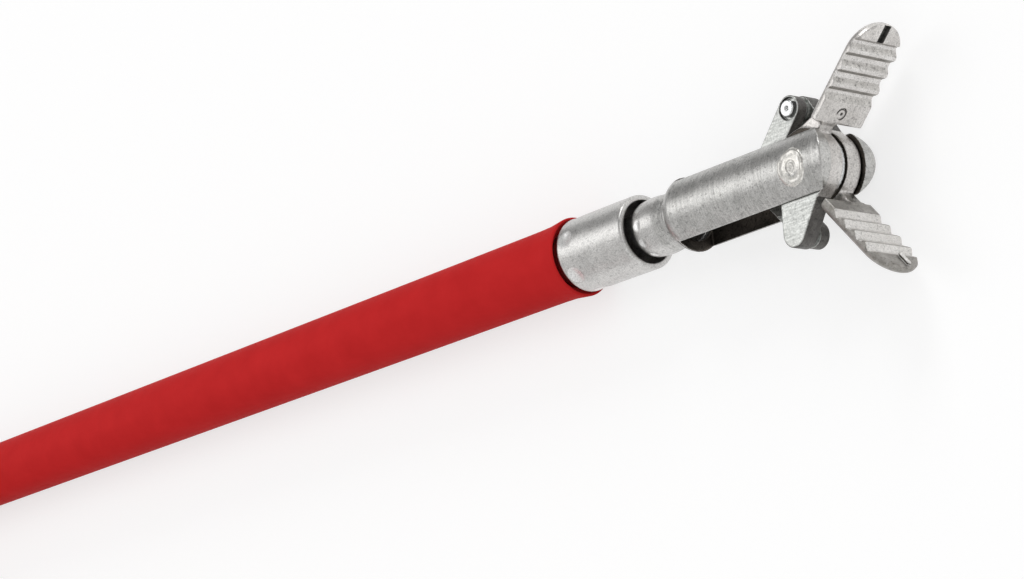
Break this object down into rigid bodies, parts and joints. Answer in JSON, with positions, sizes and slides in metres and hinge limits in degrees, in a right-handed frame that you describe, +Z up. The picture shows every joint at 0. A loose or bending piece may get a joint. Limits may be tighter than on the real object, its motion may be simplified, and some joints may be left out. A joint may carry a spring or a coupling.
{
  "type": "endoscopic coagulation grasper",
  "caption": "Flexible endoscopic coagulation grasper: two toothed jaws on a slotted steel clevis, swivelling on a ferrule at the end of a red sheath, worked by a spool-and-ring handle.",
  "frame": {"origin": "on the table surface, under the middle of the box that the handle and the distal head take together", "axes": "+X along the instrument towards the jaws, +Z up and along the jaw pivot"},
  "size_m": [0.2338, 0.0478, 0.0345],
  "materials": {
    "jaw_steel": "grainy cast stainless steel, satin",
    "polished_steel": "bright stainless steel",
    "satin_steel": "fine-brushed stainless steel",
    "red_sheath": "smooth red fluoropolymer, faint sheen",
    "handle_plastic": "fine-textured white moulded plastic",
    "spool_plastic": "fine-textured pale grey moulded plastic",
    "grey_plastic": "dark grey moulded plastic",
    "soft_rubber": "matt dark elastomer",
    "brass": "turned brass"
  },
  "bodies": {
    "root": {"handle_body": "handle_plastic", "nose_cap": "grey_plastic", "strain_relief_boot": "soft_rubber", "guide_tube": "satin_steel", "electrode_collar": "grey_plastic", "electrode_pin": "polished_steel", "contact_strip": "brass", "sheath_handle_run": "red_sheath", "sheath_coil": "red_sheath", "sheath_straight": "red_sheath", "sheath_mouth": "red_sheath", "steel_coil_end": "satin_steel", "ferrule": "satin_steel"},
    "spool": {"spool_top": "spool_plastic", "spool_bottom": "spool_plastic", "spool_screws": "polished_steel", "wire_clamp": "brass", "clamp_screw": "polished_steel", "push_tube": "satin_steel"},
    "head": {"clevis": "satin_steel", "pivot_pin": "satin_steel", "hub_washer": "polished_steel", "swivel_collar": "satin_steel", "swivel_retainer": "satin_steel"},
    "upper_jaw": {"jaw_upper": "jaw_steel", "rivet_lower": "polished_steel"},
    "lower_jaw": {"jaw_lower": "jaw_steel", "rivet_upper": "polished_steel"},
    "drive": {"drive_yoke": "satin_steel", "yoke_pin": "polished_steel", "wire_crimp": "satin_steel", "drive_wire_distal": "satin_steel"},
    "upper_link": {"link_upper": "polished_steel"},
    "lower_link": {"link_lower": "polished_steel"}
  },
  "joints": [
    {"name": "spool_slide", "type": "slide", "parent": "root", "child": "spool", "axis": [-1, 0, 0], "range_m": [0, 0.008]},
    {"name": "head_swivel", "type": "hinge", "parent": "root", "child": "head", "pos_m": [0.11375, 0.0162, 0.0013], "axis": [1, 0, 0], "continuous": true},
    {"name": "upper_jaw_hinge", "type": "hinge", "parent": "head", "child": "upper_jaw", "pos_m": [0.11375, 0.0162, 0.0013], "axis": [0, 0, -1], "range_deg": [0, 44.2]},
    {"name": "lower_jaw_hinge", "type": "hinge", "parent": "head", "child": "lower_jaw", "pos_m": [0.11375, 0.0162, 0.0013], "axis": [0, 0, 1], "range_deg": [0, 51.7]},
    {"name": "yoke_slide", "type": "slide", "parent": "head", "child": "drive", "axis": [-1, 0, 0], "range_m": [0, 0.00206]},
    {"name": "upper_link_hinge", "type": "hinge", "parent": "lower_jaw", "child": "upper_link", "pos_m": [0.11327, 0.01809, 0.0013], "axis": [0, 0, -1], "range_deg": [0, 82.07]},
    {"name": "lower_link_hinge", "type": "hinge", "parent": "upper_jaw", "child": "lower_link", "pos_m": [0.11313, 0.01435, 0.0013], "axis": [0, 0, 1], "range_deg": [0, 74.72]}
  ],
  "couplings": [
    {"joint": "upper_jaw_hinge", "follows": "spool_slide", "rad_per_m": 96.429},
    {"joint": "lower_jaw_hinge", "follows": "spool_slide", "rad_per_m": 112.79},
    {"joint": "yoke_slide", "follows": "spool_slide", "ratio": 0.2575},
    {"joint": "upper_link_hinge", "follows": "spool_slide", "rad_per_m": 179.05},
    {"joint": "lower_link_hinge", "follows": "spool_slide", "rad_per_m": 163.01}
  ]
}
